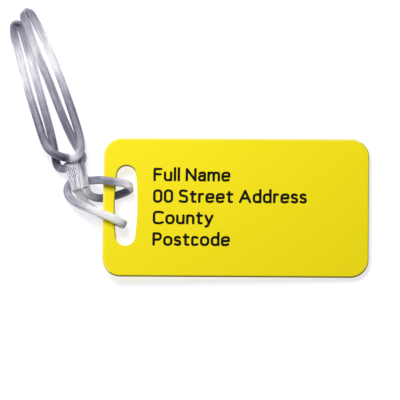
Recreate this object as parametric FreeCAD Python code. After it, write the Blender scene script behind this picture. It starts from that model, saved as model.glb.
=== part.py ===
"""Engraved luggage tag with its moulded clear loop strap, in millimetres.

The tag lies face up: +Z up, its length along X, its lines of lettering read from -X to +X.
The origin is on the table under the middle of the tag's outline.
The strap end of the tag rests on the strands that pass beneath it, so the tag leans a little.
"""
import FreeCAD, Part
import math
import os

V = FreeCAD.Vector
os.makedirs("parts", exist_ok=True)

# ---- driving sizes -------------------------------------------------------------------------
TAG_LENGTH = 86.0
TAG_WIDTH = 45.5
CORNER_RADIUS = 5.9
CAP_THICKNESS = 0.3          # coloured cap sheet, one on each side of the core
CORE_THICKNESS = 1.0
RIM_ROUND = 0.22             # eased outer rim of the front sheet
BAR_WIDTH = 3.75             # material left between the slot and the end of the tag
SLOT_LENGTH = 26.6
SLOT_WIDTH_MIDDLE = 7.4
SLOT_WIDTH_ENDS = 6.3
STRAND_DIAMETER = 2.0        # round stand-in for the strap's flat 2.7 x 1.55 section
STRAND_CLEARANCE = 0.13      # between the strand lying on the table and the tag above it
COLLAR_WIDTH = 6.5
COLLAR_LENGTH = 8.8
COLLAR_THICKNESS = 2.4
LETTER_HEIGHT = 4.5          # capitals, outside to outside
LETTER_STROKE = 0.84
LETTER_WIDENING = 1.2         # widths below are for a narrow letter
LINE_PITCH = 7.1
TEXT_LEFT = -26.8
TEXT_TOP_BASELINE = 8.4

TAG_THICKNESS = 2 * CAP_THICKNESS + CORE_THICKNESS
STRAND_RADIUS = STRAND_DIAMETER / 2
SLOT_CENTRE_X = -TAG_LENGTH / 2 + BAR_WIDTH + SLOT_WIDTH_MIDDLE / 2
SLOT_CENTRE_Y = 0.4
# the back of the tag clears the strand at the slot's near side
LEAN = math.degrees(math.atan2(STRAND_DIAMETER + STRAND_CLEARANCE, TAG_LENGTH / 2 + 38.0))


# ---- paths of straight runs joined by tangent arcs -------------------------------------------
def rounded_edges(points, radii, closed=False):
    """Edges through a polyline whose corners are rounded; radii[i] None means as wide as fits."""
    pts = [V(*p) for p in points]
    n = len(pts)
    ends, arcs = {}, {}
    corners = range(n) if closed else range(1, n - 1)
    for i in corners:
        back, here, ahead = pts[i - 1], pts[i], pts[(i + 1) % n]
        u, w = (back - here), (ahead - here)
        lu, lw = u.Length, w.Length
        u.normalize()
        w.normalize()
        half = (math.pi - u.getAngle(w)) / 2
        if radii[i] == 0 or half < 1e-4:
            ends[i] = (here, here)
            continue
        widest = 0.45 * min(lu, lw) / math.tan(half)
        r = widest if radii[i] is None else min(radii[i], widest)
        reach = r * math.tan(half)
        a, b = here + u * reach, here + w * reach
        middle = u + w
        middle.normalize()
        top = here + middle * (r / math.cos(half) - r)
        ends[i] = (a, b)
        arcs[i] = (a, top, b, r)
    edges = []
    count = n if closed else n - 1
    for i in range(count):
        j = (i + 1) % n
        start = ends[i][1] if i in ends else pts[i]
        stop = ends[j][0] if j in ends else pts[j]
        if (stop - start).Length > 1e-6:
            edges.append(Part.LineSegment(start, stop).toShape())
        if j in arcs and (closed or j < n - 1):
            a, top, b, r = arcs[j]
            edges.append(Part.Arc(a, top, b).toShape())
    return edges, [arcs[i][3] for i in sorted(arcs)]


def tube(points, name, radii=None):
    """Round strand swept along a rounded path, with ball ends; prints its bends and volume."""
    edges, bends = rounded_edges(points, radii or [None] * len(points))
    path = Part.Wire(edges)
    first = edges[0]
    start = first.valueAt(first.FirstParameter)
    heading = first.tangentAt(first.FirstParameter)
    ring = Part.Wire([Part.Circle(start, heading, STRAND_RADIUS).toShape()])
    body = path.makePipeShell([ring], True, True)
    section = math.pi * STRAND_RADIUS ** 2
    expected = section * path.Length
    print("%s: path %.1f mm, bends %s mm, volume %.2f of %.2f mm3, valid %s" % (
        name, path.Length, " ".join("%.1f" % r for r in bends), body.Volume, expected, body.isValid()))
    return body, path


def ball_end(shape, at):
    return shape.fuse(Part.makeSphere(STRAND_RADIUS, V(*at)))


# ---- the tag's outline ------------------------------------------------------------------------
def tag_outline():
    x, y = TAG_LENGTH / 2, TAG_WIDTH / 2
    corners = [(-x, -y, 0), (x, -y, 0), (x, y, 0), (-x, y, 0)]
    edges, _ = rounded_edges(corners, [CORNER_RADIUS] * 4, closed=True)
    return Part.Wire(edges)


def slot_outline():
    """Round-ended slot whose long sides bow outwards a little."""
    cx, cy = SLOT_CENTRE_X, SLOT_CENTRE_Y
    end, mid = SLOT_WIDTH_ENDS / 2, SLOT_WIDTH_MIDDLE / 2
    straight = SLOT_LENGTH / 2 - end
    left_low, left_high = V(cx - end, cy - straight, 0), V(cx - end, cy + straight, 0)
    right_low, right_high = V(cx + end, cy - straight, 0), V(cx + end, cy + straight, 0)
    return Part.Wire([
        Part.Arc(left_low, V(cx - mid, cy, 0), left_high).toShape(),
        Part.Arc(left_high, V(cx, cy + SLOT_LENGTH / 2, 0), right_high).toShape(),
        Part.Arc(right_high, V(cx + mid, cy, 0), right_low).toShape(),
        Part.Arc(right_low, V(cx, cy - SLOT_LENGTH / 2, 0), left_low).toShape()])


def sheet(bottom, thickness, rim_round=0.0):
    """One layer of the tag, with its slot; the upper outer rim can be rounded over."""
    outer = Part.Face(tag_outline()).extrude(V(0, 0, thickness))
    if rim_round:
        rims = [edge for edge in outer.Edges if edge.BoundBox.ZMin > thickness / 2]
        outer = outer.makeFillet(rim_round, rims)
    outer.translate(V(0, 0, bottom))
    hole = Part.Face(slot_outline()).extrude(V(0, 0, thickness + 2))
    hole.translate(V(0, 0, bottom - 1))
    return outer.cut(hole)


# ---- single-stroke letters ---------------------------------------------------------------------
# Heights of the stroke's centre line above the baseline's centre line.
CAP = LETTER_HEIGHT - LETTER_STROKE
LOW = 2.52                   # top of a small letter
TALL = 3.95                  # top of l, d
# Each glyph: width, then strokes. A point is (x, y) for a sharp corner or (x, y, r) for a round
# one. A stroke that starts with "ring" closes on itself.
GLYPHS = {
    "F": (1.75, [[(0, 0), (0, CAP), (1.75, CAP)], [(0, 1.95), (1.6, 1.95)]]),
    "N": (2.3, [[(0, 0), (0, CAP), (2.3, 0), (2.3, CAP)]]),
    "S": (1.9, [[(1.75, 3.5), (1.0, CAP + .03, .6), (0.05, 3.6, .8), (0.05, 2.15, .8),
                 (1.9, 1.7, .8), (1.9, 0.0, .8), (0.8, -.03, .6), (0, 0.2)]]),
    "A": (2.7, [[(0, 0), (1.35, CAP), (2.7, 0)], [(0.45, 1.2), (2.25, 1.2)]]),
    "C": (2.35, [[(2.35, 3.45), (1.6, CAP + .03, .8), (0, CAP, 1.5), (0, 0, 1.5),
                  (1.6, -.03, .8), (2.35, 0.25)]]),
    "P": (1.85, [[(0, 0), (0, CAP)],
                 [(0, CAP), (1.85, CAP, .9), (1.85, 1.65, .9), (0, 1.65)]]),
    "0": (1.85, [["ring", (0, 0, .92), (1.85, 0, .92), (1.85, CAP, .92), (0, CAP, .92)]]),
    "u": (1.65, [[(0, LOW), (0, 0, .78), (1.65, 0, .78), (1.65, LOW)], [(1.65, 0), (1.65, 1.0)]]),
    "l": (0.0, [[(0, 0), (0, TALL)]]),
    "a": (1.5, [[(0.15, 2.25), (0.6, LOW, .4), (1.5, LOW, .7), (1.5, 0)],
                [(1.5, 1.45), (0, 1.4, .6), (0, 0, .6), (1.1, 0, .4), (1.5, .5)]]),
    "m": (2.75, [[(0, 0), (0, LOW)], [(0, 1.3), (0.1, LOW, .6), (1.375, LOW, .6), (1.375, 0)],
                 [(1.375, 1.3), (1.475, LOW, .6), (2.75, LOW, .6), (2.75, 0)]]),
    "n": (1.6, [[(0, 0), (0, LOW)], [(0, 1.3), (0.1, LOW, .75), (1.6, LOW, .75), (1.6, 0)]]),
    "r": (0.95, [[(0, 0), (0, LOW)], [(0, 1.3), (0.1, LOW, .8), (0.95, LOW + .02)]]),
    "t": (1.25, [[(0.45, 3.3), (0.45, 0, .5), (1.2, 0.03)], [(0, LOW), (1.25, LOW)]]),
    "e": (1.75, [[(0, 1.3), (1.75, 1.3)],
                 [(1.75, 1.3), (1.75, LOW, .85), (0, LOW, .85), (0, 0, .85), (1.1, 0, .4),
                  (1.6, .2)]]),
    "o": (1.85, [["ring", (0, 0, .92), (1.85, 0, .92), (1.85, LOW, .92), (0, LOW, .92)]]),
    "d": (1.7, [["ring", (0, 0, .84), (1.7, 0, .84), (1.7, LOW, .84), (0, LOW, .84)],
                [(1.7, 0), (1.7, TALL)]]),
    "s": (1.3, [[(1.2, 2.35), (0.75, LOW + .03, .4), (0.02, 2.45, .5), (0.02, 1.45, .5),
                 (1.3, 1.12, .5), (1.3, 0.02, .5), (0.55, -.03, .4), (0, 0.18)]]),
    "y": (1.8, [[(0, LOW), (0.9, 0.1)], [(1.8, LOW), (0.9, 0.1), (0.55, -.95, .3), (0.05, -1.0)]]),
    "c": (1.35, [[(1.35, 2.3), (0.9, LOW, .5), (0, LOW, .9), (0, 0, .9), (0.9, 0, .5),
                  (1.35, .2)]]),
}
LETTER_GAP = 1.25            # centre line to centre line, between one letter and the next
WORD_GAP = 1.35
LINES = ["Full Name", "00 Street Address", "County", "Postcode"]


def stroke_face(stroke, dx, dy):
    """Flat face of one stroke, LETTER_STROKE wide, with round ends."""
    half = LETTER_STROKE / 2
    closed = stroke[0] == "ring"
    pts = stroke[1:] if closed else stroke
    flat = [(p[0] * LETTER_WIDENING + dx, p[1] + dy, 0) for p in pts]
    radii = [p[2] if len(p) > 2 else 0 for p in pts]
    if len(flat) == 2:
        a, b = V(*flat[0]), V(*flat[1])
        along = (b - a).normalize()
        side = V(-along.y, along.x, 0) * half
        edges = [Part.LineSegment(a + side, b + side).toShape(),
                 Part.Arc(b + side, b + along * half, b - side).toShape(),
                 Part.LineSegment(b - side, a - side).toShape(),
                 Part.Arc(a - side, a - along * half, a + side).toShape()]
        return Part.Face(Part.Wire(edges))
    edges, _ = rounded_edges(flat, radii, closed)
    wire = Part.Wire(edges)
    if closed:
        outer = Part.Face(wire.makeOffset2D(half))
        inner = Part.Face(wire.makeOffset2D(-half))
        return outer.cut(inner)
    return Part.Face(wire.makeOffset2D(half, 0, False, False, False))


def lettering(bottom, depth):
    """One solid for each letter, standing through the cap sheet."""
    letters = []
    for row, text in enumerate(LINES):
        x = TEXT_LEFT + LETTER_STROKE / 2
        y = TEXT_TOP_BASELINE - row * LINE_PITCH + LETTER_STROKE / 2
        for letter in text:
            if letter == " ":
                x += WORD_GAP
                continue
            width, strokes = GLYPHS[letter]
            solids = [stroke_face(stroke, x, y).extrude(V(0, 0, depth)) for stroke in strokes]
            solid = solids[0].fuse(solids[1:]) if len(solids) > 1 else solids[0]
            solid.translate(V(0, 0, bottom))
            if not solid.isValid() or solid.Volume < 0.2:
                print("letter %s is broken" % letter)
            letters.append(solid)
            x += width * LETTER_WIDENING + LETTER_GAP
        print("line %d ends at x %.1f" % (row + 1, x - LETTER_GAP + LETTER_STROKE / 2))
    return letters


def lean(shape):
    """Tip the tag up at its strap end, about its far lower edge."""
    shape.rotate(V(TAG_LENGTH / 2, 0, 0), V(0, 1, 0), LEAN)
    return shape


back_layer = lean(sheet(0, CAP_THICKNESS))
core_layer = lean(sheet(CAP_THICKNESS, CORE_THICKNESS))
front = sheet(CAP_THICKNESS + CORE_THICKNESS, CAP_THICKNESS, rim_round=RIM_ROUND)
for letter in lettering(CAP_THICKNESS + CORE_THICKNESS - 0.2, CAP_THICKNESS + 0.4):
    front = front.cut(letter)
front_layer = lean(front)

# ---- the strap -----------------------------------------------------------------------------
TABLE = STRAND_RADIUS + 0.01         # centre height of a strand lying on the table
OVER = 5.05                          # centre height of a strand crossing over the bar

# the collar leans down a little from the neck to its far end
NECK = V(-50.5, 6.6, 4.05)           # middle of the collar's tag end; the strap folds here
along = V(-0.28, 0.96, -0.15)
along.normalize()
across = V(0.96, 0.28, 0)
across.normalize()
upward = across.cross(along)
STRAND_OFFSET = 1.6                  # each of the two strands from the collar's middle


def from_neck(a, s, h=0.0):
    """Point a mm along the collar, s mm towards the tag side, h mm above its middle."""
    p = NECK + along * a + across * s + upward * h
    return (p.x, p.y, p.z)


NECK_GAP = 1.4                       # from the fold line to the tips of the eye's two ends
right_tip = from_neck(-NECK_GAP - STRAND_RADIUS, STRAND_OFFSET)
left_tip = from_neck(-NECK_GAP - STRAND_RADIUS, -STRAND_OFFSET)

# The small eye: down from the neck, under the bar, up through the slot and back over it, under
# the collar, round, over the bar again, down through the slot, under the bar, back to the neck.
EYE = [right_tip,
       (-47.0, 3.9, 1.7), (-43.9, 3.25, TABLE), (-39.6, 3.9, TABLE), (-36.2, 4.8, TABLE),
       (-34.0, 5.8, 1.9), (-34.0, 6.3, 4.1), (-36.2, 7.0, OVER), (-39.8, 7.45, OVER),
       (-44.0, 7.8, OVER), (-46.8, 8.3, 1.4),
       (-49.3, 8.85, TABLE), (-52.0, 9.2, TABLE), (-55.4, 8.1, TABLE), (-56.2, 4.4, TABLE),
       (-53.4, 1.9, 1.9), (-49.6, -0.2, 3.75), (-45.8, -1.5, 4.95), (-40.0, -3.9, OVER),
       (-38.1, -4.8, OVER), (-36.1, -5.8, 4.1), (-36.1, -5.7, 1.9), (-38.1, -4.7, TABLE),
       (-41.2, -3.0, TABLE), (-45.4, -0.9, TABLE),
       (-49.0, 1.6, TABLE + 0.2), (-51.0, 3.0, 2.3), left_tip]

eye, eye_path = tube(EYE, "strap_eye")
eye = ball_end(ball_end(eye, right_tip), left_tip)

# The long loop: out of the collar's left side, round a tight curl, up to the first fold, back
# down the outside, across over the collar's far end, up the other outside, the second fold,
# and down the inside to the collar's right side.
LOOP = [from_neck(6.4, -2.6), (-56.9, 11.3, 1.8), (-58.9, 13.7, TABLE), (-59.1, 18.6, TABLE),
        (-59.9, 25.0, TABLE), (-62.2, 33.8, TABLE), (-64.9, 43.4, TABLE), (-68.0, 53.6, TABLE),
        (-69.7, 58.6, TABLE), (-70.5, 61.4, 1.2), (-71.8, 61.4, 3.8), (-72.2, 58.2, 3.9),
        (-71.3, 54.4, 3.0), (-69.9, 48.9, 1.8), (-68.2, 43.0, TABLE), (-65.9, 35.2, TABLE),
        (-63.6, 27.6, 1.5), (-61.6, 21.6, 3.7), (-59.4, 17.6, 4.7), (-56.4, 16.1, 4.9),
        (-52.9, 16.1, 4.9), (-50.3, 17.3, 4.9), (-49.5, 20.6, 4.5), (-50.7, 25.2, 3.1),
        (-52.9, 32.0, 1.4), (-56.3, 41.3, TABLE), (-59.4, 49.0, 1.4), (-61.9, 55.0, 2.8),
        (-64.6, 60.8, 4.7), (-66.4, 65.0, 4.9), (-68.6, 65.2, 2.9), (-69.0, 62.2, 2.4),
        (-67.2, 58.0, 2.6), (-64.9, 52.2, 2.3), (-62.1, 45.3, 1.2), (-58.6, 36.4, TABLE),
        (-55.3, 27.8, TABLE), (-51.6, 20.2, TABLE), (-49.5, 16.6, 2.1), from_neck(7.9, 1.6)]
loop, loop_path = tube(LOOP, "strap_loop")


def collar_solid():
    """Two side-by-side lobes with a groove between them; the tag end is rounded to fold."""
    t, half = COLLAR_THICKNESS, COLLAR_WIDTH / 2
    lobe_width = half + 0.15
    solids = []
    for side in (-1, 1):
        lobe = Part.makeBox(lobe_width, COLLAR_LENGTH - t / 2, t)
        lobe.translate(V(-half if side < 0 else half - lobe_width, 0, -t / 2))
        long_edges = [e for e in lobe.Edges if abs(e.tangentAt(e.FirstParameter).y) > 0.9]
        lobe = lobe.makeFillet(1.0, long_edges)
        far = [e for e in lobe.Edges if e.BoundBox.YMin > COLLAR_LENGTH - t / 2 - 0.001]
        lobe = lobe.makeFillet(0.5, far)
        solids.append(lobe)
    knuckle = Part.makeCylinder(t / 2 - 0.02, COLLAR_WIDTH - 1.0, V(-half + 0.5, 0, 0), V(1, 0, 0))
    body = solids[0].fuse([solids[1], knuckle])
    # diamond-knurled thumb patch on the left lobe's top
    patch = Part.makeBox(2.6, 3.0, 0.5, V(-half + 0.55, 4.3, t / 2 - 0.3))
    grooves = []
    for turn in (35, -35):
        for k in range(-3, 4):
            groove = Part.makeBox(0.22, 9.0, 0.4, V(k * 0.75 - 0.11, -4.5, t / 2 + 0.02))
            groove.rotate(V(0, 0, 0), V(0, 0, 1), turn)
            groove.translate(V(-half + 1.85, 5.8, 0))
            grooves.append(groove)
    body = body.fuse(patch.cut(grooves))
    # low step where the mould's two halves meet, on the right lobe
    body = body.fuse(Part.makeBox(1.9, 0.5, 0.4, V(0.9, 0.9, t / 2 - 0.3)))
    body = body.removeSplitter()
    matrix = FreeCAD.Matrix(across.x, along.x, upward.x, NECK.x,
                            across.y, along.y, upward.y, NECK.y,
                            across.z, along.z, upward.z, NECK.z,
                            0, 0, 0, 1)
    body.Placement = FreeCAD.Placement(matrix)
    return body


collar = collar_solid()
loop = loop.cut(collar)
if len(loop.Solids) > 1:
    loop = max(loop.Solids, key=lambda s: s.Volume)

PARTS = {"front_layer": front_layer, "core_layer": core_layer, "back_layer": back_layer,
         "strap_eye": eye, "strap_collar": collar, "strap_loop": loop}
for name, shape in PARTS.items():
    box = shape.BoundBox
    print("%-13s solids %d valid %s volume %8.2f  x %.2f..%.2f y %.2f..%.2f z %.2f..%.2f" % (
        name, len(shape.Solids), shape.isValid(), shape.Volume,
        box.XMin, box.XMax, box.YMin, box.YMax, box.ZMin, box.ZMax))
    shape.exportStep("parts/%s.step" % name)

PAIRS = [("strap_eye", "front_layer"), ("strap_eye", "core_layer"), ("strap_eye", "back_layer"), 
         ("strap_eye", "strap_collar"), ("strap_eye", "strap_loop")]
for a, b in PAIRS:
    print("%s to %s: gap %.3f mm" % (a, b, PARTS[a].distToShape(PARTS[b])[0]))
print("whole strand %.0f mm, flat strap about %.0f mm" % (
    eye_path.Length + loop_path.Length + 2 * COLLAR_LENGTH,
    (eye_path.Length + loop_path.Length + 2 * COLLAR_LENGTH) / 2))
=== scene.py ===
"""Looks of the engraved luggage tag: laminate sheets from the frame, clear strap as one moulded mesh.

The strap's strands are swept along two routes and fused with the collar into one skin, which is cut at
the neck into the piece that stays with the hitch and the piece that lifts. Until that cut it is in
millimetres, from there on in metres.
"""
import math

import bmesh
import bpy
import numpy as np
from mathutils import Matrix, Vector
from mathutils.kdtree import KDTree


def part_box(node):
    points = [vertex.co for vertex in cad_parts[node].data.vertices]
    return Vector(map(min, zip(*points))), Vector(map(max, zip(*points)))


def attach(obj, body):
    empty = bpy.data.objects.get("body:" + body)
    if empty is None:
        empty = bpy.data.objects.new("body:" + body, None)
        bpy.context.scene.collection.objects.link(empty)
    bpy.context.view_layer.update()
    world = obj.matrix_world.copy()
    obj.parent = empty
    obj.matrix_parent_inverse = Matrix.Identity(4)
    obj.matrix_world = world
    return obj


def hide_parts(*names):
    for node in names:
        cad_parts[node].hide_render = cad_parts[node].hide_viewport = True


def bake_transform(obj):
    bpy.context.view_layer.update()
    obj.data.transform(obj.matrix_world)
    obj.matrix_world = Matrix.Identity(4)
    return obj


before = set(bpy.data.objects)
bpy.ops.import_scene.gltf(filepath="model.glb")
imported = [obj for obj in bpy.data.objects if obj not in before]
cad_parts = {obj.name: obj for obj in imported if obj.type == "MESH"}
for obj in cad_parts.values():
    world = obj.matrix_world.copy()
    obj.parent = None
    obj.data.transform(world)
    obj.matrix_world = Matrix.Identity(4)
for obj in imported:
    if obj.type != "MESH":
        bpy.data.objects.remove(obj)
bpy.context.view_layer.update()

MM = 0.001

# ---- sizes of the strap, in millimetres -----------------------------------------------------------
BAND_WIDTH = 2.7
BAND_THICKNESS = 1.55
BAND_POWER = 2 / 3.2         # of the section's superellipse: 1 is an oval, less is squarer
BAND_SIDES = 20
TABLE = 1.01                 # centre height of a strand lying on the table
OVER = 5.05                  # centre height of a strand crossing over the bar

COLLAR_ENDS = (-1.3, 9.2)    # along the neck
COLLAR_WIDTH = 5.9
COLLAR_THICKNESS = 2.3
COLLAR_POWERS = (0.55, 0.6)  # of its section, across and upward
COLLAR_RINGS = 60
COLLAR_SIDES = 40
END_EASING = 1.1             # the collar thins over this length at each end
END_THICKNESS = 0.55         # to this share of its thickness
END_WIDTH = 0.9              # and of its width, if it thinned to nothing

GROOVE_PLACE = 0.65          # across the neck, where the collar begins
GROOVE_SLANT = 0.16
KNURL_PITCH = 0.85
KNURL_SLOPE = 0.62           # width of a diamond for its length
KNURL_CENTRE = (4.9, -1.1)   # along and across the neck
KNURL_HALF_SIZE = (1.9, 1.4)

VOXEL = 0.12
SOFTENING_PASSES = 6
CUT_POINT = (-49.4, 4.6, 3.1)    # the strap is split here for the lift joint, across both neck strands
CUT_FACING = (-0.43, 0.69, 0.58)
CUT_REACH = 1.9
NEXT_STRAND = 400            # keeps the second strand's flow lines apart from the first one's

# ---- the tag: half sizes in metres, the rest in millimetres -----------------------------------------
TAG_HALF_LENGTH, TAG_HALF_WIDTH = (float(c) for c in np.array(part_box("core_layer")[1])[:2])
CORNER_RADIUS = 5.9
RIM_HIGHLIGHT_DEPTH = 0.95            # how far in from the upper left rims the painted highlight reaches
# how far in from the lower right rims the painted shade reaches
RIM_SHADE_DEPTH = 0.45
SLOT_CENTRE = (-35.55, 0.4)
SLOT_HALF_LENGTH = 13.3
SLOT_HALF_WIDTHS = (3.15, 3.7)   # at its round ends and at its middle
SLOT_SHADE_REACH = 0.5               # how far out from the slot the painted shade along its upper left edge reaches

# ---- colours, linear --------------------------------------------------------------------------------
YELLOW = (0.925, 0.778, 0.002)
DEEPER_YELLOW = (0.905, 0.758, 0.001)
# painted highlight and painted shade for the tag's rims and the slot's edge
PAINTED_HIGHLIGHT_YELLOW = (0.95, 0.84, 0.24)
PAINTED_SHADE_YELLOW = (0.34, 0.29, 0.006)
BLACK = (0.002, 0.002, 0.002)
WORN_BLACK = (0.006, 0.006, 0.005)
SMOKE = (("Red", 2.34), ("Green", 2.35), ("Blue", 1.88))     # powers that tint the strap's grey lavender
TABLE_WHITE = (0.42, 0.42, 0.5)

# ---- light and view, in metres ----------------------------------------------------------------------
WORLD_LIGHT = 0.3
TABLE_GLOW = 0.68
KEY_PLACE = (-0.17, 0.31, 0.35)
KEY_TARGET = (-0.19, 0.23, 0.0)
KEY_SIZE = 0.3
KEY_WATTS = 2.8
VIEW_LEAN = (0.065, -0.205)      # how far the camera stands off the vertical, to the right and down
VIEW_TARGET = (-0.01155, 0.0024, 0.0026)
VIEW_DISTANCE = 1.6
VIEW_WIDTH = 0.1294

# ---- the neck's own directions, as in the frame -----------------------------------------------------
NECK = np.array((-50.5, 6.6, 4.05))
ALONG = np.array((-0.28, 0.96, -0.15))
ALONG /= np.linalg.norm(ALONG)
ACROSS = np.array((0.96, 0.28, 0.0))
ACROSS /= np.linalg.norm(ACROSS)
UPWARD = np.cross(ACROSS, ALONG)


def from_neck(a, s, h=0.0):
    """Point a mm along the collar, s mm towards the tag side, h mm above its middle."""
    return tuple(NECK + ALONG * a + ACROSS * s + UPWARD * h)


# ---- routes of the strands: x, y, z, the bearing of the band's width, how far it is turned on edge (both
#  in degrees), and how light it looks, as painted light and shade: highlights, refraction and shadows
EYE = [(*from_neck(3.0, 2.0), 16, 0, 0.86), (*from_neck(-0.8, 1.7), 20, 0, 0.80),
       (-48.1, 4.7, 3.4, 36, 0, 0.92), (-46.8, 3.7, 1.8, 62, 0, 0.70),
       (-43.9, 3.2, TABLE, 88, 0, 0.42), (-39.7, 3.9, TABLE, 100, 0, 0.42),
       (-36.3, 5.1, TABLE, 105, 0, 0.42), (-34.0, 6.2, 1.9, 105, 0, 0.62),
       (-34.0, 6.8, 4.1, 100, 0, 1.05), (-36.2, 7.5, OVER, 92, 0, 0.88),
       (-39.9, 8.0, OVER, 86, 0, 0.60), (-44.1, 8.6, OVER, 84, 0, 0.57),
       (-46.9, 8.9, 2.2, 80, 0, 0.56), (-49.4, 9.2, TABLE, 80, 0, 0.66),
       (-51.7, 9.4, TABLE, 88, 0, 0.68), (-53.8, 8.7, TABLE, 125, 0, 0.62),
       (-55.0, 6.6, TABLE, 170, 0, 0.60), (-54.6, 4.2, 1.2, 205, 0, 0.64),
       (-52.9, 2.2, 2.3, 235, 0, 0.70), (-50.3, 0.5, 3.6, 244, 0, 0.72),
       (-45.7, -1.6, 4.95, 248, 0, 1.0), (-39.9, -3.9, OVER, 246, 0, 1.12),
       (-38.0, -4.8, OVER, 244, 0, 1.08), (-35.9, -5.8, 4.1, 243, 0, 0.88),
       (-36.1, -5.7, 1.9, 243, 0, 0.60), (-38.0, -4.7, TABLE, 243, 0, 0.45),
       (-41.2, -3.1, TABLE, 242, 0, 0.4), (-45.4, -1.1, TABLE, 240, 0, 0.45),
       (-47.9, 0.8, TABLE, 236, 0, 0.76), (-49.9, 2.9, 1.7, 226, 0, 0.92),
       (-51.0, 5.0, 3.3, 208, 0, 0.98), (*from_neck(-0.2, -1.4), 198, 0, 0.84),
       (*from_neck(3.0, -1.3), 196, 0, 0.86)]

LOOP = [(*from_neck(3.0, -1.3), 196, 0, 0.86), (*from_neck(5.6, -1.3), 186, 0, 0.88),
        (-54.4, 12.6, 3.2, 125, 0, 0.76), (-55.8, 12.8, 2.6, 100, 0, 0.56),
        (-57.2, 12.9, 1.8, 85, 0, 0.62), (-58.4, 14.2, 1.15, 40, 0, 0.38),
        (-59.0, 17.2, TABLE, 6, 0, 0.38), (-59.6, 20.6, TABLE, 8, 0, 0.44),
        (-60.6, 25.0, TABLE, 12, 0, 0.50), (-63.1, 33.8, TABLE, 15, 0, 0.60),
        (-65.9, 43.4, TABLE, 16, 0, 0.84), (-67.8, 50.3, TABLE, 16, 0, 0.87),
        (-69.5, 55.9, 1.1, 16, 10, 0.68), (-70.8, 60.3, 1.5, 15, 22, 0.54),
        (-71.3, 61.6, 1.6, 15, 70, 0.53), (-72.7, 61.9, 1.8, 15, 112, 0.54),
        (-73.5, 60.3, 1.9, 15, 158, 0.52), (-73.1, 56.8, 1.7, 14, 176, 0.62),
        (-72.0, 53.0, 1.3, 14, 180, 0.84), (-70.8, 48.2, 1.1, 15, 180, 0.92),
        (-69.4, 43.0, TABLE, 17, 180, 0.92), (-67.0, 35.2, TABLE, 18, 180, 0.64),
        (-64.5, 27.6, 1.5, 20, 180, 0.38), (-62.6, 21.8, 3.7, 30, 180, 0.40),
        (-60.8, 18.5, 4.7, 48, 180, 0.48), (-57.8, 16.6, 4.9, 74, 180, 0.40),
        (-55.7, 16.0, 4.9, 86, 180, 0.33), (-54.5, 15.8, 4.9, 92, 180, 0.40),
        (-53.5, 15.8, 4.9, 97, 180, 0.85), (-51.7, 16.2, 4.9, 118, 180, 0.9),
        (-50.2, 18.4, 4.7, 158, 180, 0.62), (-50.5, 21.4, 4.2, 186, 180, 0.50),
        (-51.5, 25.4, 3.1, 196, 180, 0.36), (-53.7, 32.0, 1.4, 200, 180, 0.40),
        (-57.0, 41.3, TABLE, 202, 180, 0.70), (-59.9, 48.6, TABLE, 203, 180, 0.90),
        (-62.6, 55.0, 1.05, 204, 184, 0.93), (-65.2, 60.3, 1.3, 204, 190, 0.74),
        (-67.6, 64.6, 1.7, 203, 208, 0.58), (-68.6, 66.0, 1.9, 202, 250, 0.56),
        (-69.9, 65.6, 2.1, 201, 292, 0.54), (-70.4, 64.0, 2.3, 201, 332, 0.54),
        (-69.1, 61.4, 2.5, 201, 352, 0.64), (-67.9, 57.6, 2.55, 202, 358, 0.78),
        (-65.9, 52.6, 2.35, 203, 360, 0.86), (-62.8, 45.3, 1.2, 203, 360, 0.7),
        (-59.2, 36.4, TABLE, 203, 360, 0.56), (-55.8, 27.8, TABLE, 205, 360, 0.50),
        (-52.0, 20.2, TABLE, 207, 360, 0.52), (-49.7, 17.2, 1.8, 190, 360, 0.80),
        (-50.2, 15.4, 2.7, 175, 360, 0.60), (*from_neck(7.0, 2.0), 185, 360, 0.72),
        (*from_neck(3.0, 2.0), 196, 360, 0.82)]


# ---- small helpers ----------------------------------------------------------------------------------
def new_object(name, verts, faces):
    mesh = bpy.data.meshes.new(name)
    mesh.from_pydata([tuple(v) for v in verts], [], faces)
    mesh.update()
    obj = bpy.data.objects.new(name, mesh)
    bpy.context.scene.collection.objects.link(obj)
    return obj


def smooth_line(points):
    """Points along the NURBS spline that has the route's points as its control points."""
    curve = bpy.data.curves.new("route", "CURVE")
    curve.dimensions = "3D"
    spline = curve.splines.new("NURBS")
    spline.points.add(len(points) - 1)
    for target, p in zip(spline.points, points):
        target.co = (p[0], p[1], p[2], 1.0)
    spline.order_u = 3
    spline.use_endpoint_u = True
    spline.resolution_u = 16
    carrier = bpy.data.objects.new("route", curve)
    mesh = bpy.data.meshes.new_from_object(carrier)
    line = np.array([v.co for v in mesh.vertices])
    bpy.data.objects.remove(carrier)
    bpy.data.meshes.remove(mesh)
    return line


def along_route(route, field, count):
    """A field of the route's points, spread over the points of its smooth line."""
    n = len(route)
    at_controls = np.concatenate(([0.0], np.arange(1, n - 1) - 0.5, [n - 2.0]))
    at_samples = np.linspace(0, n - 2.0, count)
    return np.interp(at_samples, at_controls, [p[field] for p in route])


def rounded_section(sides, power_across, power_up):
    """Superellipse from -1 to 1 both ways, as pairs in order round it."""
    pairs = []
    for k in range(sides):
        turn = 2 * math.pi * k / sides
        c, s = math.cos(turn), math.sin(turn)
        pairs.append((math.copysign(abs(c) ** power_across, c), math.copysign(abs(s) ** power_up, s)))
    return pairs


def tube_faces(rings, sides):
    """Faces of a closed tube whose vertices come ring by ring."""
    faces = []
    for i in range(rings - 1):
        for k in range(sides):
            a, b = i * sides + k, i * sides + (k + 1) % sides
            faces.append((a, b, b + sides, a + sides))
    faces.append(tuple(reversed(range(sides))))
    faces.append(tuple(range((rings - 1) * sides, rings * sides)))
    return faces


def bell(x, centre, width):
    return np.exp(-((x - centre) / width) ** 2)


def ramp(x, low, high):
    """0 at low, rising smoothly to 1 at high."""
    t = np.clip((x - low) / (high - low), 0, 1)
    return t * t * (3 - 2 * t)


def write_values(mesh, name, values):
    layer = mesh.attributes.new(name, "FLOAT", "POINT")
    layer.data.foreach_set("value", np.asarray(values, dtype=np.float32))


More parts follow.
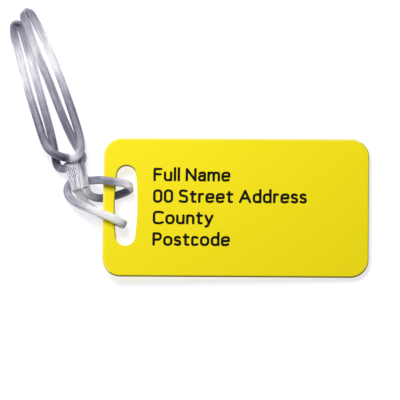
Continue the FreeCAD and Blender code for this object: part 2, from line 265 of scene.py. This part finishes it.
def apply_modifiers(obj):
    depsgraph = bpy.context.evaluated_depsgraph_get()
    mesh = bpy.data.meshes.new_from_object(obj.evaluated_get(depsgraph))
    obj.modifiers.clear()
    old = obj.data
    obj.data = mesh
    bpy.data.meshes.remove(old)


def join(name, objects):
    bm = bmesh.new()
    for obj in objects:
        bm.from_mesh(obj.data)
        bpy.data.objects.remove(obj)
    bmesh.ops.recalc_face_normals(bm, faces=bm.faces)
    mesh = bpy.data.meshes.new(name)
    bm.to_mesh(mesh)
    bm.free()
    whole = bpy.data.objects.new(name, mesh)
    bpy.context.scene.collection.objects.link(whole)
    return whole


# ---- the strap --------------------------------------------------------------------------------------
def band(name, route):
    """Flat strand with rounded edges swept along its route; its width keeps the route's bearings."""
    line = smooth_line([p[:3] for p in route])
    angle = np.radians(along_route(route, 3, len(line)))
    tilt = np.radians(along_route(route, 4, len(line)))
    tangent = np.gradient(line, axis=0)
    tangent /= np.linalg.norm(tangent, axis=1)[:, None]
    side = np.stack([np.cos(angle) * np.cos(tilt), np.sin(angle) * np.cos(tilt), np.sin(tilt)], axis=1)
    side -= tangent * np.sum(side * tangent, axis=1)[:, None]
    side /= np.linalg.norm(side, axis=1)[:, None]
    normal = np.cross(tangent, side)
    verts = []
    for p, s, n in zip(line, side, normal):
        for x, y in rounded_section(BAND_SIDES, BAND_POWER, BAND_POWER):
            verts.append(p + s * (x * BAND_WIDTH / 2) + n * (y * BAND_THICKNESS / 2))
    return new_object(name, verts, tube_faces(len(line), BAND_SIDES)), line, side


def collar_slab():
    """The collar before its grooves: a flat bar with full edges and eased ends, a little wider high up."""
    first, last = COLLAR_ENDS
    verts = []
    for a in np.linspace(first, last, COLLAR_RINGS):
        depth = min(1.0, min(a - first, last - a) / END_EASING)
        ease = math.sqrt(1 - (1 - depth) ** 2) * (1 - END_THICKNESS) + END_THICKNESS
        widening = 1.0 + 0.07 * math.exp(-((a - 8.0) / 1.6) ** 2)
        half_width = COLLAR_WIDTH / 2 * widening * (END_WIDTH + (1 - END_WIDTH) * ease)
        half_thickness = COLLAR_THICKNESS / 2 * ease
        for x, y in rounded_section(COLLAR_SIDES, *COLLAR_POWERS):
            verts.append(from_neck(a, x * half_width, y * half_thickness))
    return new_object("collar", verts, tube_faces(COLLAR_RINGS, COLLAR_SIDES))


def mould_strap():
    """The eye, the collar and the long loop as one closed skin, still in millimetres."""
    eye, eye_line, eye_side = band("eye", EYE)
    loop, loop_line, loop_side = band("loop", LOOP)
    whole = join("strap", [eye, loop, collar_slab()])
    remesh = whole.modifiers.new("skin", "REMESH")
    remesh.mode = "VOXEL"
    remesh.voxel_size = VOXEL
    remesh.use_smooth_shade = True
    soften = whole.modifiers.new("soften", "SMOOTH")
    soften.factor = 0.5
    soften.iterations = SOFTENING_PASSES
    apply_modifiers(whole)
    carve_collar(whole.data)
    mark_strands(whole.data, [(EYE, eye_line, eye_side), (LOOP, loop_line, loop_side)])
    return whole, eye_line, loop_line


def carve_collar(mesh):
    """The groove between the collar's two lobes, the diamond knurling and the mould's step."""
    co, no = np.empty(len(mesh.vertices) * 3), np.empty(len(mesh.vertices) * 3)
    mesh.vertices.foreach_get("co", co)
    mesh.vertices.foreach_get("normal", no)
    co, no = co.reshape(-1, 3), no.reshape(-1, 3)
    a, s, h = ((co - NECK) @ axis for axis in (ALONG, ACROSS, UPWARD))
    top = h > 0

    # 1 on the collar's flat faces, fading out at its ends and sides
    on_collar = ramp(a, -1.5, -0.9) * (1 - ramp(a, 8.2, 9.2)) * ramp(3.2 - np.abs(s), 0, 0.3)
    on_collar *= ramp(h, -1.6, -1.4) * (1 - ramp(h, 1.6, 1.8))
    on_collar *= np.abs(no @ UPWARD)

    # the groove with a shorter one beside it, and the rounding of the lobes next to it
    groove = GROOVE_PLACE + GROOVE_SLANT * a
    second = groove - 2.0
    lift = -0.55 * bell(s, groove, 0.30)
    lift -= 0.16 * bell(s, second, 0.22) * (1 - ramp(a, 2.2, 3.4))
    lift += 0.10 * bell(s, groove - 0.62, 0.3) + 0.12 * bell(s, groove + 0.75, 0.35)

    # the knurled thumb patch
    along, across = KNURL_SLOPE * a, s
    diamonds = np.abs(np.sin((along + across) / KNURL_PITCH * math.pi)
                      * np.sin((along - across) / KNURL_PITCH * math.pi))
    patch = ramp(KNURL_HALF_SIZE[1] - np.abs(s - KNURL_CENTRE[1]), 0, 0.25)
    patch *= ramp(KNURL_HALF_SIZE[0] - np.abs(a - KNURL_CENTRE[0]), 0, 0.3)
    lift += patch * (0.24 * diamonds - 0.08) * top

    # the mould's step across the tag side lobe: a ridge with a dip above it
    step = ramp(s, 0.6, 0.9) * top
    lift += 0.20 * bell(a, -0.85, 0.16) * step - 0.14 * bell(a, -0.35, 0.2) * step

    # painted light and shade over the collar's relief: lighter along the groove, darker by the shorter
    # groove and near the tag side edge, and lit and shaded facets on the knurl
    relief_shade = patch * (1.1 * diamonds - 0.5)
    relief_shade += 0.22 * bell(s, groove, 0.22) - 0.14 * bell(s, second, 0.25)
    relief_shade -= 0.30 * bell(s, 2.3, 0.35) * ramp(a, 1.5, 3.0)
    write_values(mesh, "relief_shade", relief_shade * on_collar)
    mesh.vertices.foreach_set("co", (co + no * (lift * on_collar)[:, None]).ravel())
    mesh.update()


def mark_strands(mesh, strands):
    """Writes onto the skin where each point lies along and across its strand, and its painted light and
    shade there.
    """
    tree = KDTree(sum(len(line) for _, line, _ in strands))
    facts = []
    for number, (route, line, side) in enumerate(strands):
        run = np.concatenate(([0.0], np.cumsum(np.linalg.norm(np.diff(line, axis=0), axis=1))))
        # the route's tones: painted light and shade along the strand
        tone = along_route(route, 5, len(line))
        for p, s, r, t in zip(line, side, run, tone):
            tree.insert(p, len(facts))
            facts.append((p, s, r + NEXT_STRAND * number, t))
    tree.balance()
    across, along, light = [], [], []
    for vertex in mesh.vertices:
        p, s, r, t = facts[tree.find(vertex.co)[1]]
        across.append(float(np.dot(np.array(vertex.co) - p, s)) / (BAND_WIDTH / 2))
        along.append(r)
        light.append(t)
    write_values(mesh, "across", across)
    write_values(mesh, "along", along)
    write_values(mesh, "light", light)


def past_cut(line):
    """How far each point of a line is on the collar's side of the cut."""
    return (line - np.array(CUT_POINT)) @ np.array(CUT_FACING)


def crossing(line):
    """Where a line from the collar first comes to the cut across the neck."""
    return line[np.argmax(past_cut(line) < 0)]


def linked(seed):
    """All vertices that edges join to the seed."""
    found, stack = {seed}, [seed]
    while stack:
        here = stack.pop()
        for edge in here.link_edges:
            other = edge.other_vert(here)
            if other not in found:
                found.add(other)
                stack.append(other)
    return found


def split_at_neck(obj, eye_line):
    """Cuts the two neck strands across, so the eye stays with the hitch while the rest lifts."""
    bm = bmesh.new()
    bm.from_mesh(obj.data)
    necks = [Vector(crossing(eye_line)), Vector(crossing(eye_line[::-1]))]
    near = [f for f in bm.faces if min((f.calc_center_median() - c).length for c in necks) < CUT_REACH]
    geometry = set(near)
    for f in near:
        geometry.update(f.verts)
        geometry.update(f.edges)
    cut = bmesh.ops.bisect_plane(bm, geom=list(geometry), dist=1e-5,
                                 plane_co=Vector(CUT_POINT), plane_no=Vector(CUT_FACING))
    edges = [e for e in cut["geom_cut"] if isinstance(e, bmesh.types.BMEdge)]
    bmesh.ops.split_edges(bm, edges=edges)
    bm.verts.ensure_lookup_table()
    eye = linked(max(bm.verts, key=lambda v: v.co.x))    # from the wrap furthest into the slot
    in_eye = [v in eye for v in bm.verts]
    pieces = []
    for name, keep_eye in (("strap_eye_skin", True), ("strap_loop_skin", False)):
        part = bm.copy()
        part.verts.ensure_lookup_table()
        doomed = [v for v, mark in zip(part.verts, in_eye) if mark != keep_eye]
        bmesh.ops.delete(part, geom=doomed, context="VERTS")
        mesh = bpy.data.meshes.new(name)
        part.to_mesh(mesh)
        part.free()
        mesh.transform(Matrix.Scale(MM, 4))
        for polygon in mesh.polygons:
            polygon.use_smooth = True
        piece = bpy.data.objects.new(name, mesh)
        bpy.context.scene.collection.objects.link(piece)
        pieces.append(piece)
    bm.free()
    bpy.data.objects.remove(obj)
    return pieces


def cord_lines(eye_line, loop_line):
    """The strands' lines as the cut divides them: round the eye, and through the collar and the loop."""
    first = np.argmax(past_cut(eye_line) < 0)
    last = len(eye_line) - np.argmax(past_cut(eye_line[::-1]) < 0)
    return eye_line[first:last], np.vstack([eye_line[last:], loop_line[1:], eye_line[1:first]])


# ---- materials --------------------------------------------------------------------------------------
def material(name):
    mat = bpy.data.materials.new(name)
    mat.use_nodes = True
    return mat, mat.node_tree.nodes, mat.node_tree.links, mat.node_tree.nodes["Principled BSDF"]


def object_place(nodes):
    return nodes.new("ShaderNodeTexCoord").outputs["Object"]


def attribute(nodes, name):
    node = nodes.new("ShaderNodeAttribute")
    node.attribute_name = name
    return node.outputs["Fac"]


def maths(mat, operation, a, b=None, clamp=False):
    """A Math node; each input is a number or another node's output."""
    node = mat.node_tree.nodes.new("ShaderNodeMath")
    node.operation = operation
    node.use_clamp = clamp
    for socket, value in zip(node.inputs, (a, b)):
        if isinstance(value, (int, float)):
            socket.default_value = value
        elif value is not None:
            mat.node_tree.links.new(value, socket)
    return node.outputs[0]


def noise(mat, vector, scale, detail=2.0):
    node = mat.node_tree.nodes.new("ShaderNodeTexNoise")
    node.inputs["Scale"].default_value = scale
    node.inputs["Detail"].default_value = detail
    mat.node_tree.links.new(vector, node.inputs["Vector"])
    return node.outputs["Fac"]


def centred_noise(mat, vector, scale, detail, strength):
    return maths(mat, "MULTIPLY", maths(mat, "SUBTRACT", noise(mat, vector, scale, detail), 0.5), strength)


def bump(mat, shader, height, strength, distance):
    node = mat.node_tree.nodes.new("ShaderNodeBump")
    node.inputs["Strength"].default_value = strength
    node.inputs["Distance"].default_value = distance
    mat.node_tree.links.new(height, node.inputs["Height"])
    mat.node_tree.links.new(node.outputs["Normal"], shader.inputs["Normal"])


def fade(mat, value, end):
    """1 where the value is 0, falling smoothly to 0 at end."""
    node = mat.node_tree.nodes.new("ShaderNodeMapRange")
    node.interpolation_type = "SMOOTHSTEP"
    for name, setting in (("From Min", 0.0), ("From Max", end), ("To Min", 1.0), ("To Max", 0.0)):
        node.inputs[name].default_value = setting
    mat.node_tree.links.new(value, node.inputs["Value"])
    return node.outputs["Result"]


def blend_colours(mat, factor, first, second):
    """Mixes two colours; the first is a colour or another node's output."""
    node = mat.node_tree.nodes.new("ShaderNodeMix")
    node.data_type = "RGBA"
    first_socket, second_socket = (s for s in node.inputs if s.name in ("A", "B") and s.type == "RGBA")
    second_socket.default_value = (*second, 1)
    if isinstance(first, tuple):
        first_socket.default_value = (*first, 1)
    else:
        mat.node_tree.links.new(first, first_socket)
    mat.node_tree.links.new(factor, node.inputs["Factor"])
    return next(o for o in node.outputs if o.type == "RGBA")


def rim_distance(mat, x, y):
    """How far inside the tag's rounded outline a point is, in metres, from its plan coordinates."""
    past_x = maths(mat, "SUBTRACT", maths(mat, "ABSOLUTE", x), TAG_HALF_LENGTH - CORNER_RADIUS * MM)
    past_y = maths(mat, "SUBTRACT", maths(mat, "ABSOLUTE", y), TAG_HALF_WIDTH - CORNER_RADIUS * MM)
    round_x = maths(mat, "POWER", maths(mat, "MAXIMUM", past_x, 0.0), 2.0)
    round_y = maths(mat, "POWER", maths(mat, "MAXIMUM", past_y, 0.0), 2.0)
    outwards = maths(mat, "SQRT", maths(mat, "ADD", round_x, round_y))
    straight = maths(mat, "MINIMUM", maths(mat, "MAXIMUM", past_x, past_y), 0.0)
    return maths(mat, "SUBTRACT", CORNER_RADIUS * MM, maths(mat, "ADD", outwards, straight))


def slot_distance(mat, x, y):
    """How far outside the slot's bowed outline a point is, in metres, from the slot's middle."""
    end_half, middle_half = (w * MM for w in SLOT_HALF_WIDTHS)
    straight = SLOT_HALF_LENGTH * MM - end_half
    along = maths(mat, "ABSOLUTE", y)
    past = maths(mat, "MAXIMUM", maths(mat, "SUBTRACT", along, straight), 0.0)
    share = maths(mat, "MINIMUM", maths(mat, "DIVIDE", along, straight), 1.0)
    bow = maths(mat, "SUBTRACT", 1.0, maths(mat, "MULTIPLY", share, share))
    bow = maths(mat, "MULTIPLY", bow, middle_half - end_half)
    reach = maths(mat, "ADD", maths(mat, "MULTIPLY", x, x), maths(mat, "MULTIPLY", past, past))
    reach = maths(mat, "SQRT", reach)
    return maths(mat, "SUBTRACT", maths(mat, "SUBTRACT", reach, bow), end_half)


def diagonal(mat, x, y, half_x, half_y):
    """Above 0 in the upper left half of a shape around its middle, below 0 in the lower right."""
    return maths(mat, "SUBTRACT", maths(mat, "DIVIDE", y, half_y), maths(mat, "DIVIDE", x, half_x))


def cap_material():
    """Satin yellow acrylic with a faint rolled grain. Light and shade are painted at its edges: a painted
    highlight on the tag's upper left rims, and painted shade on its lower right rims and the slot's upper
    left edge."""
    mat, nodes, links, shader = material("yellow_cap_sheet")
    place = object_place(nodes)
    split = nodes.new("ShaderNodeSeparateXYZ")
    links.new(place, split.inputs["Vector"])
    x, y = split.outputs["X"], split.outputs["Y"]
    rim = rim_distance(mat, x, y)
    corner = diagonal(mat, x, y, TAG_HALF_LENGTH, TAG_HALF_WIDTH)
    # painted highlight on the upper left rims and painted shade on the lower right rims, as the light from
    # the upper left falls
    rim_highlight = maths(mat, "MULTIPLY", fade(mat, rim, RIM_HIGHLIGHT_DEPTH * MM), maths(mat, "GREATER_THAN", corner, 0.0))
    rim_shade = maths(mat, "MULTIPLY", fade(mat, rim, RIM_SHADE_DEPTH * MM), maths(mat, "LESS_THAN", corner, 0.0))
    # painted shade along the slot's upper left edge, where its wall faces away from the light
    slot_x, slot_y = (maths(mat, "SUBTRACT", c, middle * MM) for c, middle in zip((x, y), SLOT_CENTRE))
    slot_corner = diagonal(mat, slot_x, y, SLOT_HALF_WIDTHS[1] * MM, SLOT_HALF_LENGTH * MM)
    slot_painted_shade = maths(mat, "MULTIPLY", fade(mat, slot_distance(mat, slot_x, slot_y), SLOT_SHADE_REACH * MM),
                      maths(mat, "GREATER_THAN", slot_corner, 0.0))
    colour = blend_colours(mat, noise(mat, place, 38.0, 3.0), YELLOW, DEEPER_YELLOW)
    # the grain, then the painted highlight, the painted rim shade and the painted slot shade
    colour = blend_colours(mat, rim_highlight, colour, PAINTED_HIGHLIGHT_YELLOW)
    colour = blend_colours(mat, rim_shade, colour, PAINTED_SHADE_YELLOW)
    colour = blend_colours(mat, slot_painted_shade, colour, PAINTED_SHADE_YELLOW)
    links.new(colour, shader.inputs["Base Color"])
    bump(mat, shader, noise(mat, place, 2600.0), 0.08, 0.00005)
    shader.inputs["Roughness"].default_value = 0.42
    shader.inputs["Specular IOR Level"].default_value = 0.14
    return mat


def core_material():
    """Matt black core: brushed by the cutter in the letters, sawn at the edges."""
    mat, nodes, links, shader = material("black_core_sheet")
    marks = noise(mat, object_place(nodes), 1500.0, 4.0)
    links.new(blend_colours(mat, marks, BLACK, WORN_BLACK), shader.inputs["Base Color"])
    bump(mat, shader, marks, 0.25, 0.00004)
    shader.inputs["Roughness"].default_value = 0.7
    shader.inputs["Specular IOR Level"].default_value = 0.12
    return mat


def strap_material():
    """Clear flexible PVC: smoky lavender with flow lines along the strand, a painted highlight along its
    edges, and painted light and shade along each strand and over the collar's relief.
    """
    mat, nodes, links, shader = material("clear_pvc")
    place = object_place(nodes)
    across, along, light = (attribute(nodes, name) for name in ("across", "along", "light"))
    lengthwise = nodes.new("ShaderNodeCombineXYZ")
    links.new(maths(mat, "MULTIPLY", across, 1.7), lengthwise.inputs["X"])
    links.new(maths(mat, "MULTIPLY", along, 0.07), lengthwise.inputs["Y"])
    streak = centred_noise(mat, lengthwise.outputs["Vector"], 1.6, 3.0, 0.55)
    cloud = centred_noise(mat, place, 420.0, 3.0, 0.22)
    # painted highlight: a thin pale line near both edges of each strand
    off_line = maths(mat, "ABSOLUTE", maths(mat, "SUBTRACT", maths(mat, "ABSOLUTE", across), 0.86))
    edge = maths(mat, "SUBTRACT", 1.0, maths(mat, "MULTIPLY", off_line, 9.0), clamp=True)
    edge = maths(mat, "MULTIPLY", edge, 0.22)
    # painted light and shade from the strands' tones and the collar's relief shade, with flow lines and
    # clouding added
    value = maths(mat, "ADD", light, streak)
    value = maths(mat, "ADD", value, cloud)
    value = maths(mat, "ADD", value, edge)
    value = maths(mat, "ADD", value, attribute(nodes, "relief_shade"), clamp=True)
    colour = nodes.new("ShaderNodeCombineColor")
    for channel, power in SMOKE:
        links.new(maths(mat, "POWER", value, power), colour.inputs[channel])
    links.new(colour.outputs["Color"], shader.inputs["Base Color"])
    bump(mat, shader, noise(mat, place, 420.0, 3.0), 0.12, 0.00012)
    shader.inputs["Transmission Weight"].default_value = 0.3
    shader.inputs["Roughness"].default_value = 0.28
    shader.inputs["IOR"].default_value = 1.5
    shader.inputs["Specular IOR Level"].default_value = 0.2
    return mat


def paint(obj, mat):
    if not obj.material_slots:
        obj.data.materials.append(mat)
        return
    for slot in obj.material_slots:
        slot.material = mat


# ---- the pieces on their bodies ---------------------------------------------------------------------
cap, core, pvc = cap_material(), core_material(), strap_material()
paint(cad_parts["front_layer"], cap)
paint(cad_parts["back_layer"], cap)
paint(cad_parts["core_layer"], core)

strap, eye_line, loop_line = mould_strap()
eye_skin, loop_skin = split_at_neck(strap, eye_line)
for piece in (eye_skin, loop_skin):
    paint(piece, pvc)
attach(eye_skin, "hitch")
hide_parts("strap_eye")
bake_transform(loop_skin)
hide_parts("strap_collar", "strap_loop")

eye_line, loop_line = cord_lines(eye_line, loop_line)


# ---- stage, lights and camera -----------------------------------------------------------------------
def stage():
    """A pale table that glows a little, so that the shadows on it stay faint."""
    floor = new_object("floor", [(-3, -3, 0), (3, -3, 0), (3, 3, 0), (-3, 3, 0)], [(0, 1, 2, 3)])
    floor.location.z = -0.00002
    mat, _, _, shader = material("white_table")
    shader.inputs["Base Color"].default_value = (*TABLE_WHITE, 1)
    shader.inputs["Roughness"].default_value = 0.9
    shader.inputs["Emission Color"].default_value = (1, 1, 1, 1)
    shader.inputs["Emission Strength"].default_value = TABLE_GLOW
    paint(floor, mat)


def lights():
    """A white studio all round, and one soft lamp up beyond the strap."""
    world = bpy.data.worlds.new("studio")
    world.use_nodes = True
    background = world.node_tree.nodes["Background"]
    background.inputs["Color"].default_value = (1, 1, 1, 1)
    background.inputs["Strength"].default_value = WORLD_LIGHT
    bpy.context.scene.world = world
    data = bpy.data.lights.new("key", "AREA")
    data.shape = "SQUARE"
    data.size = KEY_SIZE
    data.energy = KEY_WATTS
    lamp = bpy.data.objects.new("key", data)
    lamp.location = KEY_PLACE
    lamp.rotation_euler = (Vector(KEY_TARGET) - Vector(KEY_PLACE)).to_track_quat("-Z", "Y").to_euler()
    bpy.context.scene.collection.objects.link(lamp)


def camera():
    """Long lens nearly overhead, turned so that the tag's length runs across the picture."""
    towards = Vector((*VIEW_LEAN, 0.0))
    towards.z = math.sqrt(1 - towards.length_squared)
    data = bpy.data.cameras.new("camera")
    data.sensor_width = 36.0
    data.lens = data.sensor_width * VIEW_DISTANCE / VIEW_WIDTH
    data.clip_end = 20.0
    view = bpy.data.objects.new("camera", data)
    right = (Vector((1, 0, 0)) - towards * towards.x).normalized()
    up = towards.cross(right)
    rotation = Matrix([[right[i], up[i], towards[i]] for i in range(3)])
    place = Vector(VIEW_TARGET) + towards * VIEW_DISTANCE
    view.matrix_world = Matrix.Translation(place) @ rotation.to_4x4()
    bpy.context.scene.collection.objects.link(view)
    bpy.context.scene.camera = view


stage()
lights()
camera()
bpy.context.scene.view_settings.view_transform = "Standard"
